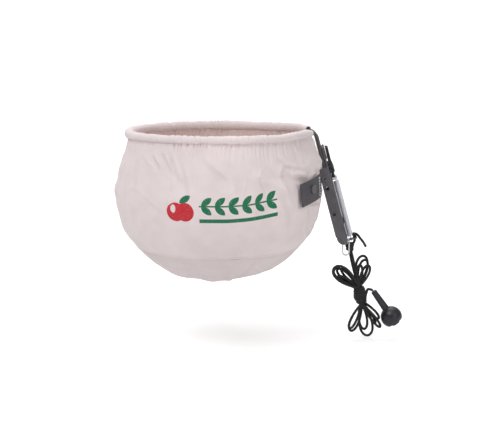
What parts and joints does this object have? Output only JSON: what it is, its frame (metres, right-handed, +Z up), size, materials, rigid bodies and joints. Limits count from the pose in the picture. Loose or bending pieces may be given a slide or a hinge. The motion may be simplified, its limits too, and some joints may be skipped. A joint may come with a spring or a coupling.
{
  "type": "fruit picker basket",
  "caption": "Cloth catch bag gathered on a round steel-rod hoop, with a leaning channel bracket for a pole and a cord-pulled bypass stalk cutter with a return spring.",
  "frame": {"origin": "on the axis of the upper pole screw hole, midway between the bracket's two flanges", "axes": "+Z up, +X from the bag towards the bracket and the pull cord, +Y along the screw holes from the near side to the far side"},
  "size_m": [0.3223, 0.2276, 0.2402],
  "materials": {
    "grey_paint": "satin dark grey paint",
    "bright_steel": "zinc plated",
    "blade_steel": "blackened, ground edge",
    "spring_steel": "bright drawn wire",
    "canvas": "plain woven off-white cotton",
    "cord": "black braided cord",
    "black_plastic": "moulded, slightly glossy",
    "leather": "dark grey grained leather with pale stitches",
    "dark_stud": "black oxide"
  },
  "bodies": {
    "head": {"head_bracket": "grey_paint", "pole_stop_pin": "bright_steel", "hoop": "bright_steel", "hoop_saddle": "grey_paint", "saddle_rivets": "bright_steel", "fixed_blade": "blade_steel", "fixed_blade_rivets": "bright_steel", "pivot_bolt": "blade_steel", "pivot_spacer": "bright_steel", "pivot_washer": "bright_steel", "pivot_nut": "bright_steel", "guide_pin": "bright_steel", "return_spring": "spring_steel", "bag_hem": "canvas", "bag_side": "canvas", "bag_base": "canvas", "stud_socket": "bright_steel"},
    "blade": {"moving_blade": "blade_steel"},
    "pull": {"pull_bar": "grey_paint", "drive_pin": "bright_steel", "cord_knot": "cord"},
    "guide_ring": {"cord_guide_ring": "bright_steel"},
    "hank": {"cord_hank": "cord"},
    "knob": {"pull_knob": "black_plastic", "knob_cap": "black_plastic", "cord_end_knot": "cord"},
    "strap": {"strap_tab": "leather", "stud_cap": "dark_stud"}
  },
  "joints": [
    {"name": "cord_pull", "type": "slide", "parent": "head", "child": "pull", "axis": [0.2588, 0, -0.9659], "range_m": [0, 0.0068], "stiffness_N_per_m": 400, "springref_m": -0.01, "deforming": ["return_spring"]},
    {"name": "blade_close", "type": "hinge", "parent": "head", "child": "blade", "pos_m": [0.00313, -0.0025, 0.02154], "axis": [-0.9659, 0, -0.2588], "range_deg": [0, 36.5]},
    {"name": "guide_ring_swing", "type": "hinge", "parent": "head", "child": "guide_ring", "pos_m": [0.02127, -0.0105, -0.05621], "axis": [0, -1, 0], "range_deg": [0, 30]},
    {"name": "hank_swing", "type": "hinge", "parent": "pull", "child": "hank", "pos_m": [0.02705, 0.006, -0.06812], "axis": [0, -1, 0], "range_deg": [-15, 25]},
    {"name": "knob_swing", "type": "hinge", "parent": "hank", "child": "knob", "pos_m": [0.0541, 0, -0.1186], "axis": [0, -1, 0], "range_deg": [0, 45]},
    {"name": "strap_lift", "type": "hinge", "parent": "head", "child": "strap", "pos_m": [-0.00917, -0.032, 0.0068], "axis": [0, 0, 1], "range_deg": [0, 60]}
  ],
  "couplings": [
    {"joint": "blade_close", "follows": "cord_pull", "rad_per_m": 92.4}
  ]
}
